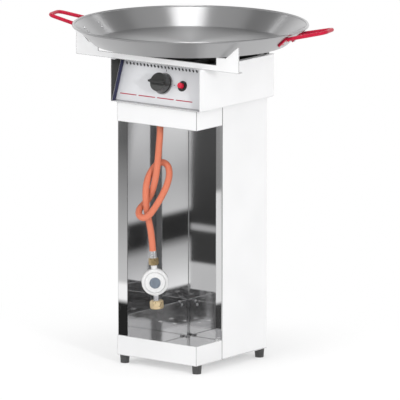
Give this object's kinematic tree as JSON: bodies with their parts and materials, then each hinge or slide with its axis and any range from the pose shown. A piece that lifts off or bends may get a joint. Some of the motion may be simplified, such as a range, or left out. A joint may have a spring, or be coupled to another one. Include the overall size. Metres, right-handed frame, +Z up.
{
  "type": "paella gas grill",
  "caption": "Gas grill on a sheet-metal column with an open corner: slanted panel with knob and igniter, ring burner, bars under a wide pan with rod handles, knotted hose with regulator.",
  "frame": {"origin": "on the floor under the middle of the pan", "axes": "+Z up; -Y out of the front, where the control panel is; +X to the right seen from the front"},
  "size_m": [0.7456, 0.6, 0.8775],
  "materials": {
    "satin_steel": "satin sheet steel",
    "pan_steel": "polished steel",
    "red_paint": "gloss",
    "fasteners": "plain steel",
    "foot_rubber": "matte",
    "cast_burner": "cast",
    "tap_brass": "plain",
    "nut_brass": "plain",
    "pipe_metal": "plain",
    "copper_lead": "plain",
    "lead_rubber": "satin",
    "white_ceramic": "glazed",
    "black_plastic": "gloss",
    "red_plastic": "gloss",
    "hose_rubber": "satin",
    "white_paint": "satin",
    "grey_plastic": "satin",
    "seal_rubber": "matte"
  },
  "bodies": {
    "grill": {"base_tray": "satin_steel", "column_shell": "satin_steel", "top_frame": "satin_steel", "burner_box": "satin_steel", "control_panel": "satin_steel", "front_bar": "satin_steel", "rear_bar": "satin_steel", "burner_leg_left": "satin_steel", "burner_leg_right": "satin_steel", "pilot_bracket": "satin_steel", "foot_screws": "fasteners", "tray_rivets": "fasteners", "box_bolts": "fasteners", "box_nuts": "fasteners", "panel_screws": "fasteners", "bar_screws": "fasteners", "foot_front_left": "foot_rubber", "foot_front_right": "foot_rubber", "foot_rear_left": "foot_rubber", "foot_rear_right": "foot_rubber", "burner_ring": "cast_burner", "mixing_tube": "cast_burner", "gas_tap": "tap_brass", "tap_nut": "tap_brass", "injector": "tap_brass", "inlet_fitting": "tap_brass", "hose_nut_top": "tap_brass", "hose_nut": "tap_brass", "supply_pipe": "pipe_metal", "hose_ferrule_top": "pipe_metal", "hose_ferrule": "pipe_metal", "thermocouple": "pipe_metal", "cylinder_stem": "pipe_metal", "knob_bezel": "pipe_metal", "thermocouple_lead": "copper_lead", "ignition_lead": "lead_rubber", "spark_electrode": "white_ceramic", "igniter_housing": "black_plastic", "igniter_nut": "black_plastic", "gas_hose": "hose_rubber", "regulator_body": "white_paint", "regulator_cap": "grey_plastic", "cylinder_seal": "seal_rubber"},
    "pan": {"pan": "pan_steel", "handle_left": "red_paint", "handle_right": "red_paint", "handle_rivets": "fasteners"},
    "tap_push": {"tap_push_rod": "fasteners"},
    "knob": {"control_knob": "black_plastic", "tap_spindle": "fasteners"},
    "igniter_button": {"igniter_button": "red_plastic"},
    "cylinder_nut": {"cylinder_nut": "nut_brass"}
  },
  "joints": [
    {"name": "pan_lift", "type": "slide", "parent": "grill", "child": "pan", "axis": [0, 0, 1], "range_m": [0, 0.15]},
    {"name": "knob_push", "type": "slide", "parent": "grill", "child": "tap_push", "axis": [0, 0.9397, -0.342], "range_m": [0, 0.004], "stiffness_N_per_m": 1500, "springref_m": -0.002},
    {"name": "knob_turn", "type": "hinge", "parent": "tap_push", "child": "knob", "pos_m": [0, -0.11178, 0.729], "axis": [0, -0.9397, 0.342], "range_deg": [-90, 90]},
    {"name": "igniter_press", "type": "slide", "parent": "grill", "child": "igniter_button", "axis": [0, 0.9397, -0.342], "range_m": [0, 0.005], "stiffness_N_per_m": 1500, "springref_m": -0.002},
    {"name": "cylinder_nut_turn", "type": "hinge", "parent": "grill", "child": "cylinder_nut", "pos_m": [-0.02955, -0.10059, 0.15157], "axis": [-0.0567, -0.0431, 0.9975], "continuous": true}
  ]
}
